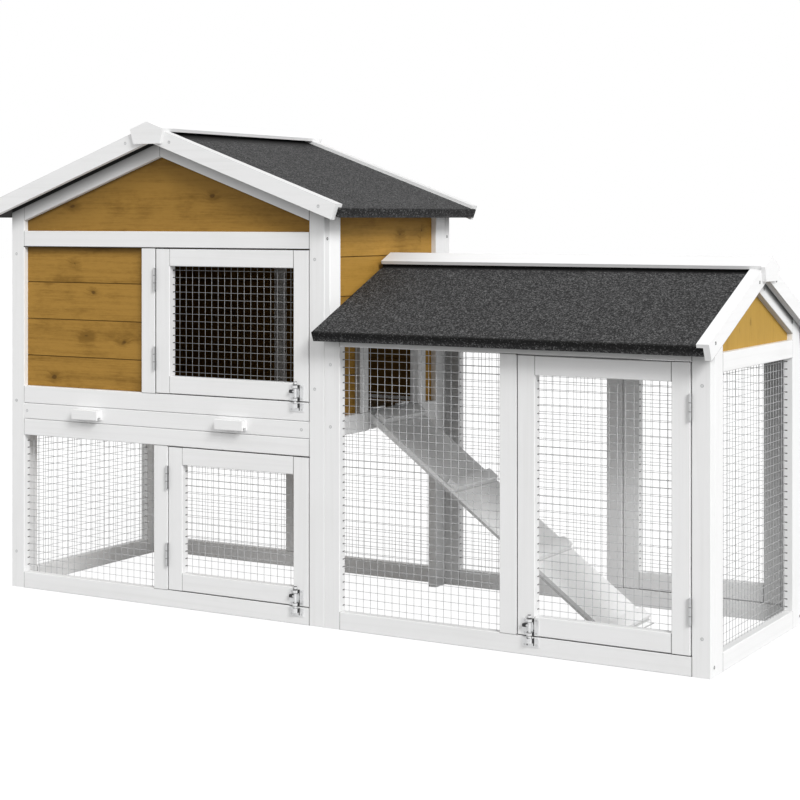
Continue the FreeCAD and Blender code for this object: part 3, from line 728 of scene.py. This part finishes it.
def boarded(node, grain, across, tint, figure, timber):
    """Stained board with bands along the grain, fine fibre and a few knots; each board has its own tone.
    Painted shade lies along the panel's edges and on the boards' inner faces.
    """
    finish = Finish(node + "_stain")
    boxes = members(node)
    parts = finish.parts
    through = 3 - grain - across
    number = float(sorted(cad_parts).index(node))
    seams = sorted({round(low[across], 4) for low, high in boxes})[1:]
    for seam in seams:
        number = (parts[across] > seam) + number
    for edge in sorted({round(low[grain], 4) for low, high in boxes})[1:]:
        number = 7.0 * (parts[grain] > edge) + number
    board = finish.random(number)
    along = parts[grain] + board * 9.0
    up = parts[across] + board * 3.0
    depth = parts[through]
    ragged = finish.noise(finish.join(along * 60.0, up * 90.0, board), 1.0, 2.0)
    knot_gap, knot_tone = finish.cells(finish.join(along * 9.0, up * 15.0, 0.0), 1.0, "2D")
    knot_gap = knot_gap + (ragged - 0.5) * 0.14
    knot_here = (knot_tone > 0.40) * figure
    knot = knot_gap.fade(0.02, 0.06) * knot_here
    halo = knot_gap.fade(0.03, 0.24) * knot_here
    bent = up + halo * 0.006
    bands = finish.noise(finish.join(along * 2.4, bent * 34.0, depth * 34.0), 1.0, 3.0, 0.5, 0.5)
    lines = finish.noise(finish.join(along * 5.0, bent * 170.0, depth * 170.0), 1.0, 3.0, 0.6, 0.3)
    fibre = finish.noise(finish.join(along * 30.0, bent * 900.0, depth * 900.0), 1.0, 2.0, 0.6)
    blotch = finish.noise(finish.join(along * 11.0, up * 18.0, board), 1.0, 3.0, 0.6)
    speck = finish.noise(finish.join(along * 90.0, up * 220.0, depth * 220.0), 1.0, 2.0, 0.6)
    dark = bands.smooth(0.30, 0.78) * 0.38 + lines.smooth(0.30, 0.80) * 0.34
    dark = dark + blotch.smooth(0.46, 0.78) * 0.42 + (board - 0.5) * 0.24 + halo * 0.40
    dark = dark + (fibre - 0.5) * 0.60 + (speck - 0.5) * 0.50
    dark = (dark * figure).smooth(0.0, 1.0)
    finish.ground(finish.mix(dark, tinted(timber.stain, tint), tinted(timber.stain_shade, tint)))
    shut = [parts[across].near(seam, 0.9 * MM) * 0.8 for seam in seams]
    finish.over(finish.strongest(shut + [knot * 0.75]), rgba(timber.knot))
    # Painted shade along the panel's edges
    finish.over(finish.strongest(panel_edge_shade(finish, node)), rgba(timber.knot, 0.6))
    # Painted shade on the boards' inner faces
    centre = roof_middle(node)[through]
    inner = {round(min((low[through], high[through]), key=lambda face: abs(face - centre)), 5)
             for low, high in boxes}
    inner_face_shade = [depth.near(face, 0.5 * MM) * 0.75 for face in sorted(inner)]
    finish.over(finish.strongest(inner_face_shade), rgba(timber.knot))
    finish.surface({"Roughness": 0.50 + 0.22 * fibre, "Specular IOR Level": 0.15})
    finish.bump(lines * 0.5 + fibre * 0.5 + knot * 0.3, 0.22 * MM)
    coat(node, finish)


class StainBoards(bpy.types.Operator):
    """Stain the boards of the walls and gables"""

    bl_idname = "hutch.stain_boards"
    bl_label = "Stain boards"

    def execute(self, context):
        timber = context.scene.hutch_timber
        for node, tint in (("house_front_planks", PLAIN_TINT), ("house_back_planks", PLAIN_TINT),
                           ("house_gable_panels", GABLE_SHADE_TINT)):
            boarded(node, X, Z, tint, 1.0, timber)
        for node, tint in (("house_left_planks", PLAIN_TINT), ("house_right_planks", RIGHT_LIGHT_TINT)):
            boarded(node, Y, Z, tint, 0.9, timber)
        boarded("run_end_gable", Z, Y, END_TONE_AND_LIGHT_TINT, 0.45, timber)
        return {"FINISHED"}


def bare(node, grain, light, shade):
    """Unpainted softwood with its grain open."""
    finish = Finish(node + "_bare")
    bands = finish.noise(finish.scaled(finish.place, stretch(grain, 2.0, 36.0)), 1.0, 3.0, 0.5, 0.6)
    lines = finish.noise(finish.scaled(finish.place, stretch(grain, 5.0, 190.0)), 1.0, 3.0, 0.6)
    fibre = finish.noise(finish.scaled(finish.place, stretch(grain, 30.0, 900.0)), 1.0, 2.0, 0.6)
    dark = bands.smooth(0.35, 0.75) * 0.5 + lines.smooth(0.4, 0.8) * 0.35 + fibre * 0.15
    finish.ground(finish.mix(dark, rgba(light), rgba(shade)))
    finish.surface({"Roughness": 0.62 + 0.2 * fibre, "Specular IOR Level": 0.2})
    finish.bump(lines * 0.5 + fibre * 0.5, 0.25 * MM)
    coat(node, finish)


class FinishBareWood(bpy.types.Operator):
    """Colour the roof boards black as painted shade under the eaves, and leave the tray's base and rims and
    its runners as bare wood
    """

    bl_idname = "hutch.finish_bare_wood"
    bl_label = "Finish bare wood"

    def execute(self, context):
        timber = context.scene.hutch_timber
        roof = context.scene.hutch_roof
        # Roof boards in black: painted shade for the eaves' underside
        bare("house_roof_boards", Y, roof.board, roof.board_shade)
        bare("run_roof_boards", X, roof.board, roof.board_shade)
        for node, grain in (("tray_base", X), ("tray_rims", Y), ("tray_runners", Y)):
            bare(node, grain, timber.bare, timber.bare_shade)
        return {"FINISHED"}


class LayFelt(bpy.types.Operator):
    """Cover both roofs with mineral felt"""

    bl_idname = "hutch.lay_felt"
    bl_label = "Lay felt"

    def execute(self, context):
        self.cover("house_roof_felt", X, 0.9, 0.0, 64 * MM, context.scene.hutch_roof)
        self.cover("run_roof_felt", Y, 0.7, 0.85, 36 * MM, context.scene.hutch_roof)
        return {"FINISHED"}

    def cover(self, node, across, sparkle, turned_edge_shade, ridge, roof):
        """Granules all over, with painted shade by the ridge and on the turned-down edge, where only the
        brightest granules show.
        """
        finish = Finish(node + "_mineral")
        gap, tone = finish.cells(finish.place, 1.0 / roof.granule_size)
        dust = finish.noise(finish.place, 0.3 / roof.granule_size, 3.0, 0.6)
        patch = finish.noise(finish.place, 5.0, 3.0, 0.55)
        light = tone * tone * tone * 0.90 + (dust - 0.5) * 0.25 + (patch - 0.5) * 0.12
        low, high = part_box(node)
        reach = (high[across] - low[across]) / 2
        out = abs(finish.parts[across] - (low + high)[across] / 2)
        turned = out.smooth(reach - 6 * MM, reach - 2 * MM)
        # Painted shade by the ridge
        ridge_shade = out.fade(27 * MM, ridge) * 0.95
        edge_granules = tone.math("POWER", 7.0) * sparkle
        light = light * (1.0 - turned) + edge_granules * turned
        finish.ground(finish.mix(light, rgba(roof.felt), rgba(roof.granule)))
        # Painted shade by the ridge and on the run's turned-down edge
        dark = finish.strongest([ridge_shade, turned * turned_edge_shade * (1.0 - edge_granules)])
        finish.over(dark, rgba(roof.board_shade, 0.5))
        finish.surface({"Roughness": 0.80 + 0.15 * tone, "Specular IOR Level": 0.25})
        finish.bump((1.0 - gap) * 0.7 + dust * 0.3, 0.7 * MM)
        coat(node, finish)


def plated(name, zinc, shade):
    """Bright zinc plating with a faint spangle and dull patches."""
    finish = Finish(name)
    spangle = finish.cells(finish.place, 260.0)[1]
    dull = finish.noise(finish.place, 90.0, 4.0, 0.6)
    finish.ground(finish.mix(dull.smooth(0.45, 0.75) * 0.6 + spangle * 0.15, rgba(zinc), rgba(shade)))
    finish.surface({"Metallic": 0.7, "Roughness": 0.26 + 0.2 * dull + 0.08 * spangle})
    finish.bump(dull, 0.05 * MM)
    return finish


class PlateHardware(bpy.types.Operator):
    """Plate the hinges, bolts and keepers with zinc, and dip the bolts' knobs in black"""

    bl_idname = "hutch.plate_hardware"
    bl_label = "Plate hardware"

    def execute(self, context):
        hardware = context.scene.hutch_hardware
        coat("ramp_hinge_leaves", plated("zinc_plating", hardware.zinc, hardware.zinc_shade))
        self.keepers(hardware)
        hinges = self.hinges(hardware)
        for node in ["hinge_frame_leaves", "hinge_pins"] + [door + "_hinge_leaves" for door in DOORS]:
            coat(node, hinges)
        for door in DOORS:
            self.bolt(door + "_bolt", hardware)
            self.plate(door + "_bolt_plate", hardware)
        return {"FINISHED"}

    def hinges(self, hardware):
        """Duller plating, with painted shade in the gap beside each knuckle and between the knuckles."""
        finish = plated("hinge_plating", hardware.hinge, [0.75 * c for c in hardware.hinge])
        knuckle_shades = []
        for low, high in members("hinge_pins"):
            middle = (low + high) / 2
            if high.z - low.z > high.x - low.x:
                here = finish.z.between(low.z, high.z, 1 * MM)
                knuckle_shades.append(here * finish.x.near(middle.x + KNUCKLE_SIDE, 0.7 * MM) * 0.75)
                knuckle_shades.append(here * finish.x.near(middle.x - KNUCKLE_SIDE, 0.4 * MM) * 0.4)
                between = abs(finish.z - middle.z).near(KNUCKLE_END, 0.8 * MM)
                knuckle_shades.append(between * finish.x.near(middle.x, 4 * MM) * 0.5)
        finish.over(finish.strongest(knuckle_shades), rgba(hardware.crease_shade))
        return finish

    def bolt(self, node, hardware):
        """The black knob stands out sideways, and two rings of painted shade mark the bolt's upper end."""
        finish = plated(node + "_plating", hardware.zinc, hardware.zinc_shade)
        low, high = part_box(node)
        knob_x = high.x if wall_of(node)[3] < 0 else low.x
        knob = finish.x.near(knob_x, hardware.knob_length)
        plate_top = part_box(node + "_plate")[1].z
        rings = [finish.z.near(height, 0.9 * MM) * 0.9 for height in (high.z, plate_top + 0.6 * MM)]
        finish.over(finish.strongest(rings), rgba(hardware.crease_shade))
        finish.over(knob, rgba(hardware.knob))
        finish.surface({"Metallic": 0.7 - 0.7 * knob})
        coat(node, finish)

    def plate(self, node, hardware):
        """Painted shade lies beside the straps and along their edges."""
        finish = plated(node + "_plating", hardware.zinc, hardware.zinc_shade)
        low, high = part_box(node)
        right = (finish.x - middle_of(node).x) * (1 if wall_of(node)[3] > 0 else -1)
        height = (finish.z - low.z) * (1 / (high.z - low.z))
        groove = right.near(STRAP_SIDE, STRAP_SHADE_W) * (1.0 - 0.4 * height.near(0.5, 0.14))
        edges = finish.strongest([abs(height - 0.5).near(edge, 0.025) for edge in (0.30, 0.5)])
        strap = right.near(0.0, 6.0 * MM) * edges
        finish.over(finish.strongest([groove * 0.95, strap * 0.75]), rgba(hardware.crease_shade))
        coat(node, finish)

    def keepers(self, hardware):
        """Painted shade lies beside the strap of each keeper too."""
        finish = plated("keeper_plating", hardware.zinc, hardware.zinc_shade)
        grooves = []
        for low, high in members("bolt_keepers"):
            side = 1 if low.y < middle_of("run_roof_boards").y else -1
            groove = finish.x.near((low.x + high.x) / 2 + side * STRAP_SIDE, STRAP_SHADE_W)
            grooves.append(groove * finish.z.near(high.z, 12 * MM) * 0.95)
        finish.over(finish.strongest(grooves), rgba(hardware.crease_shade))
        coat("bolt_keepers", finish)


def clear_selection():
    """Leave edit mode and deselect everything."""
    if bpy.context.object and bpy.context.object.mode != "OBJECT":
        bpy.ops.object.mode_set(mode="OBJECT")
    bpy.ops.object.select_all(action="DESELECT")


def settle(obj):
    """Put an object's place into its mesh."""
    clear_selection()
    obj.select_set(True)
    bpy.context.view_layer.objects.active = obj
    bpy.ops.object.transform_apply(location=True, rotation=True, scale=True)


def select_faces(obj, wanted):
    """In edit mode, select only the faces for which a test holds."""
    bpy.ops.mesh.select_mode(type="FACE")
    bpy.ops.mesh.select_all(action="DESELECT")
    mesh = bmesh.from_edit_mesh(obj.data)
    for face in mesh.faces:
        face.select_set(wanted(face))
    bmesh.update_edit_mesh(obj.data)


def copied(pattern, place):
    """A copy of a modelled piece, with its own mesh put in its place."""
    copy = pattern.copy()
    copy.data = pattern.data.copy()
    bpy.context.scene.collection.objects.link(copy)
    copy.data.transform(place)
    return copy


def merged(objects, name):
    """Join objects into one piece of the given name."""
    clear_selection()
    for obj in objects:
        obj.select_set(True)
    bpy.context.view_layer.objects.active = objects[0]
    if len(objects) > 1:
        bpy.ops.object.join()
    objects[0].name = name
    objects[0].data.name = name
    return objects[0]


def wire_row(settings, middle, length, axis, step, count):
    """A row of round wires with eased ends: one is modelled, the rest are its array."""
    clear_selection()
    turn = (0, 0, 0)
    if axis != Z:
        turn = AXES[Z].rotation_difference(AXES[axis]).to_euler()
    bpy.ops.mesh.primitive_cylinder_add(vertices=settings.sides, radius=settings.diameter / 2, depth=length,
                                        location=middle, rotation=turn)
    wire = bpy.context.object
    settle(wire)
    bpy.ops.object.mode_set(mode="EDIT")
    select_faces(wire, lambda face: len(face.verts) == settings.sides)
    bpy.ops.mesh.bevel(offset=settings.diameter / 5, segments=1, affect="EDGES")
    bpy.ops.object.mode_set(mode="OBJECT")
    bpy.ops.object.shade_smooth_by_angle(angle=math.radians(50))
    row = wire.modifiers.new("row", "ARRAY")
    row.use_relative_offset = False
    row.use_constant_offset = True
    row.constant_offset_displace = step
    row.count = count
    bpy.ops.object.modifier_apply(modifier=row.name)
    return wire


def wire_panel(node, settings):
    """Upright wires in front and cross wires welded behind them, in each opening of a node's panel."""
    along, through, face, inward = wall_of(node)
    rows = []
    for low, high in panes(node, settings.pitch_across):
        middle = (low + high) / 2
        middle[through] = face + inward * settings.diameter / 2
        place = middle.copy()
        place[along], count = spaced(low[along], high[along], settings.pitch_across)
        step = AXES[along] * settings.pitch_across
        rows.append(wire_row(settings, place, high.z - low.z, Z, step, count))
        middle[through] += inward * settings.diameter * 0.9
        middle.z, count = spaced(low.z, high.z, settings.pitch_up)
        step = AXES[Z] * settings.pitch_up
        rows.append(wire_row(settings, middle, high[along] - low[along], along, step, count))
    return merged(rows, node + "_wires")


class FitWirePanels(bpy.types.Operator):
    """Fit round welded wire in the windows and doors"""

    bl_idname = "hutch.fit_wire_panels"
    bl_label = "Fit wire panels"

    def execute(self, context):
        wire = context.scene.hutch_wire
        bright = self.finish("galvanised_wire", 1.0, wire)
        # Painted shade: a darker copy of the same zinc for the upper door's wire
        wire_in_shade = self.finish("shaded_wire_zinc", 0.54, wire)
        walls = ("house_front", "house_back", "house_left", "run_front", "run_back", "run_end")
        bodies = {wall + "_mesh": "hutch" for wall in walls}
        bodies.update({door + "_mesh": door for door in DOORS})
        for node, body in bodies.items():
            panel = wire_panel(node, wire)
            # The upper door's wire takes the painted shade copy
            finish = wire_in_shade if body == "upper_door" else bright
            panel.data.materials.append(finish.material)
            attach(panel, body)
            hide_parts(node)
        return {"FINISHED"}

    def finish(self, name, tone, wire):
        """Zinc with dull patches, darkened by a tone; the upper door's darker copy is painted shade."""
        finish = Finish(name)
        dull = finish.noise(finish.place, 140.0, 3.0, 0.6)
        zinc, shade = rgba(wire.zinc, tone), rgba(wire.zinc_shade, tone)
        finish.ground(finish.mix(dull.smooth(0.35, 0.75), zinc, shade))
        finish.surface({"Metallic": 0.2, "Roughness": 0.38 + 0.2 * dull})
        finish.bump(dull, 0.05 * MM)
        return finish


class FixCleats(bpy.types.Operator):
    """Fix four eased battens across the ramp"""

    bl_idname = "hutch.fix_cleats"
    bl_label = "Fix cleats"

    def execute(self, context):
        settings = context.scene.hutch_ramp
        timber = context.scene.hutch_timber
        places = members("ramp_cleats")
        low, high = places[0]
        clear_selection()
        bpy.ops.mesh.primitive_cube_add(size=1, scale=(settings.width, high.y - low.y - 2 * settings.inset,
                                                       settings.thickness))
        pattern = bpy.context.object
        settle(pattern)
        bpy.ops.object.mode_set(mode="EDIT")
        bpy.ops.mesh.select_all(action="SELECT")
        bpy.ops.mesh.bevel(offset=settings.easing, segments=2, affect="EDGES")
        bpy.ops.object.mode_set(mode="OBJECT")
        bpy.ops.object.shade_smooth_by_angle(angle=math.radians(40))
        slope = Matrix.Rotation(RAMP_PITCH, 4, "Y")
        rise = slope @ Vector((0, 0, settings.thickness / 2))
        cleats = []
        for low, high in places:
            foot = (low + high) / 2 - slope @ Vector((0, 0, settings.block / 2))
            cleats.append(copied(pattern, Matrix.Translation(foot + rise) @ slope))
        bpy.data.objects.remove(pattern)
        battens = merged(cleats, "ramp_battens")
        finish = painted_finish("ramp_battens_paint", Y, timber)
        # Painted light: the battens grow paler towards the ramp's foot
        finish.over(ramp_foot_light(finish), rgba(timber.painted_light))
        battens.data.materials.append(finish.material)
        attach(battens, "ramp")
        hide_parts("ramp_cleats")
        return {"FINISHED"}


def screw_head(settings):
    """A countersunk head with a cross recess, facing up with the timber's surface at z = 0."""
    clear_selection()
    height = settings.head_rise + settings.head_depth
    bpy.ops.mesh.primitive_cylinder_add(vertices=20, radius=settings.head_d / 2, depth=height,
                                        location=(0, 0, settings.head_rise - height / 2))
    head = bpy.context.object
    settle(head)
    bpy.ops.object.mode_set(mode="EDIT")
    select_faces(head, lambda face: face.normal.z < -0.9)
    bpy.ops.transform.resize(value=(0.45, 0.45, 1))
    select_faces(head, lambda face: face.normal.z > 0.9)
    bpy.ops.mesh.bevel(offset=settings.head_rise * 0.6, segments=2, affect="EDGES")
    bpy.ops.object.mode_set(mode="OBJECT")
    cutter = (settings.head_d * 0.62, settings.slot_w, settings.slot_depth * 2)
    for turn in (0, math.pi / 2):
        clear_selection()
        bpy.ops.mesh.primitive_cube_add(size=1, location=(0, 0, settings.head_rise), rotation=(0, 0, turn),
                                        scale=cutter)
        slot = bpy.context.object
        settle(slot)
        bpy.context.view_layer.objects.active = head
        cut = head.modifiers.new("recess", "BOOLEAN")
        cut.operation = "DIFFERENCE"
        cut.solver = "EXACT"
        cut.object = slot
        bpy.ops.object.modifier_apply(modifier=cut.name)
        bpy.data.objects.remove(slot)
    return head


def timber_screws():
    """Screws in the timber, as body, place from the hutch's corner in millimetres, and facing."""
    front, back, right, left = -AXES[Y], AXES[Y], AXES[X], -AXES[X]
    depth = 433.0
    house_w = 685.0
    end_x = 1360.0
    barge_y = 31.0
    barge_x = 1374.0
    places = []
    for facing, y in ((front, 0.0), (back, depth)):
        for x, heights in ((11.5, (614.0, 344.0, 65.5)), (666.0, (611.0, 395.0)), (697.0, (437.0, 334.0)),
                           (1346.3, (432.0, 58.0))):
            places += [("hutch", (x, y, z), facing) for z in heights]
        verge = y + facing.y * barge_y
        verge_screws = ((-7.7, 699.3), (290.6, 811.0), (386.6, 811.0), (692.7, 699.3))
        places += [("hutch", (x, verge, z), facing) for x, z in verge_screws]
    for facing, x in ((left, 0.0), (right, house_w)):
        places += [("hutch", (x, y, 645.5), facing) for y in (9.0, depth - 10.0)]
    places += [("hutch", (end_x, y, 14.7), right) for y in (14.0, depth - 14.0)]
    middle = depth / 2
    for side in (-1, 1):
        for x, y, z in ((end_x, 21.1, 567.5), (end_x, 160.9, 507.4), (barge_x, 40.1, 580.0),
                        (barge_x, 234.2, 497.0)):
            places.append(("hutch", (x, middle + side * y, z), right))
    places += [("tray", (x, 0.0, 326.0), front) for x in (37.2, 639.6)]
    return [(body, corner + Vector(place) * MM, facing) for body, place, facing in places]


def plate_screws():
    """Screws in the corners of the bolts' plates and keepers, as body, place and facing."""
    across = 10.0 * MM
    inset = 3.6 * MM
    plate_t = 1.2 * MM
    places = []
    keepers = members("bolt_keepers")
    for door in DOORS:
        face, inward = wall_of(door + "_frame")[2:]
        low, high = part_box(door + "_bolt_plate")
        keeper = min(keepers, key=lambda box: (box[0] - low).length)
        for body, height in ((door, low.z + inset), (door, high.z - inset), ("hutch", keeper[0].z + inset)):
            for side in (-1, 1):
                place = Vector(((low.x + high.x) / 2 + side * across, face - inward * plate_t, height))
                places.append((body, place, AXES[Y] * -inward))
    return places


class DriveScrews(bpy.types.Operator):
    """Drive countersunk screws into the frames, barge boards, tray front and bolts' plates"""

    bl_idname = "hutch.drive_screws"
    bl_label = "Drive screws"

    def execute(self, context):
        hardware = context.scene.hutch_hardware
        bright = plated("screw_zinc", hardware.zinc_shade, [0.6 * c for c in hardware.zinc_shade])
        # Painted shade: a darker copy of the screws' zinc, for the screws that face right
        dull = plated("shaded_screw_zinc", [0.3 * c for c in hardware.zinc_shade], hardware.crease_shade)
        pattern = screw_head(hardware)
        heads = {}
        screws = [(1.0,) + screw for screw in timber_screws()]
        screws += [(hardware.small_head,) + screw for screw in plate_screws()]
        for size, body, place, facing in screws:
            turn = AXES[Z].rotation_difference(facing).to_matrix().to_4x4()
            head = copied(pattern, Matrix.Translation(place) @ turn @ Matrix.Scale(size, 4))
            # Screws that face right take the painted shade copy
            head.data.materials.append((dull if facing.x > 0.5 else bright).material)
            heads.setdefault(body, []).append(head)
        bpy.data.objects.remove(pattern)
        for body, copies in heads.items():
            driven = merged(copies, body + "_screws")
            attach(driven, body)
        return {"FINISHED"}


class SetStage(bpy.types.Operator):
    """Set the pale floor, the soft light and the camera"""

    bl_idname = "hutch.set_stage"
    bl_label = "Set stage"

    def execute(self, context):
        stage = context.scene.hutch_stage
        self.floor(stage)
        self.sky(context.scene, stage)
        self.sun(context.scene, "key_light", stage.key, stage.key_spread, stage.key_from)
        self.sun(context.scene, "fill_light", stage.fill, stage.fill_spread, stage.fill_from)
        self.camera(context.scene, stage)
        context.scene.view_settings.view_transform = "Standard"
        return {"FINISHED"}

    def plane(self, name, size, height, colour, glow):
        """A square floor with its own colour and glow."""
        clear_selection()
        bpy.ops.mesh.primitive_plane_add(size=size, location=(0, 0, height))
        plane = bpy.context.object
        plane.name = name
        settle(plane)
        finish = Finish(name + "_coat")
        grain = finish.noise(finish.place, 3.0, 2.0)
        finish.ground(finish.mix(grain, rgba(colour, 0.98), rgba(colour)))
        finish.surface({
            "Roughness": 0.9,
            "Specular IOR Level": 0.0,
            "Emission Color": rgba(glow),
            "Emission Strength": 1.0,
        })
        plane.data.materials.append(finish.material)
        plane.visible_glossy = False
        return plane

    def floor(self, stage):
        """An even white floor for the camera, and under it one that throws light back at the hutch."""
        seen = self.plane("floor", stage.floor_size, -0.5 * MM, [0.12] * 3, stage.floor)
        seen.visible_diffuse = False
        seen.visible_shadow = False
        plain = self.plane("bounce_floor", stage.floor_size, -1.0 * MM, stage.bounce, [0.0] * 3)
        plain.visible_camera = False

    def sky(self, scene, stage):
        """White to the camera, soft to the hutch."""
        world = bpy.data.worlds.new("studio")
        scene.world = world
        world.use_nodes = True
        graph = Graph(world.node_tree)
        seen = graph.node("ShaderNodeLightPath", None, None, 0)
        background = world.node_tree.nodes["Background"]
        background.inputs["Color"].default_value = (1, 1, 1, 1)
        graph.feed(background.inputs["Strength"], seen * (1.0 - stage.sky) + stage.sky)

    def sun(self, scene, name, strength, spread, way):
        light = bpy.data.lights.new(name, "SUN")
        light.energy = strength
        light.angle = spread
        lamp = bpy.data.objects.new(name, light)
        lamp.rotation_euler = AXES[Z].rotation_difference(Vector(way).normalized()).to_euler()
        scene.collection.objects.link(lamp)

    def camera(self, scene, stage):
        lens = bpy.data.cameras.new("camera")
        lens.lens = stage.lens
        lens.sensor_width = 36.0
        lens.shift_y = -stage.drop
        camera = bpy.data.objects.new("camera", lens)
        camera.location = stage.camera
        camera.rotation_euler = (math.pi / 2, 0, stage.turn)
        scene.collection.objects.link(camera)
        scene.camera = camera


STEPS = (PaintTimber, StainBoards, FinishBareWood, LayFelt, PlateHardware, FitWirePanels, FixCleats,
         DriveScrews, SetStage)
SETTINGS = {"hutch_timber": TimberSettings, "hutch_roof": RoofSettings, "hutch_wire": WireSettings,
            "hutch_hardware": HardwareSettings, "hutch_ramp": RampSettings, "hutch_stage": StageSettings}


class HutchPanel(bpy.types.Panel):
    """Lists the steps that finish the hutch"""

    bl_idname = "VIEW3D_PT_hutch"
    bl_label = "Small Animal Hutch"
    bl_space_type = "VIEW_3D"
    bl_region_type = "UI"
    bl_category = "Hutch"

    def draw(self, context):
        for step in STEPS:
            self.layout.operator(step.bl_idname)


CLASSES = tuple(SETTINGS.values()) + STEPS + (HutchPanel,)


def register():
    for cls in CLASSES:
        bpy.utils.register_class(cls)
    for name, group in SETTINGS.items():
        setattr(bpy.types.Scene, name, PointerProperty(type=group))


def unregister():
    for name in SETTINGS:
        delattr(bpy.types.Scene, name)
    for cls in reversed(CLASSES):
        bpy.utils.unregister_class(cls)


def main():
    register()
    bpy.ops.hutch.paint_timber()
    bpy.ops.hutch.stain_boards()
    bpy.ops.hutch.finish_bare_wood()
    bpy.ops.hutch.lay_felt()
    bpy.ops.hutch.plate_hardware()
    bpy.ops.hutch.fit_wire_panels()
    bpy.ops.hutch.fix_cleats()
    bpy.ops.hutch.drive_screws()
    bpy.ops.hutch.set_stage()


if __name__ == "__main__":
    main()
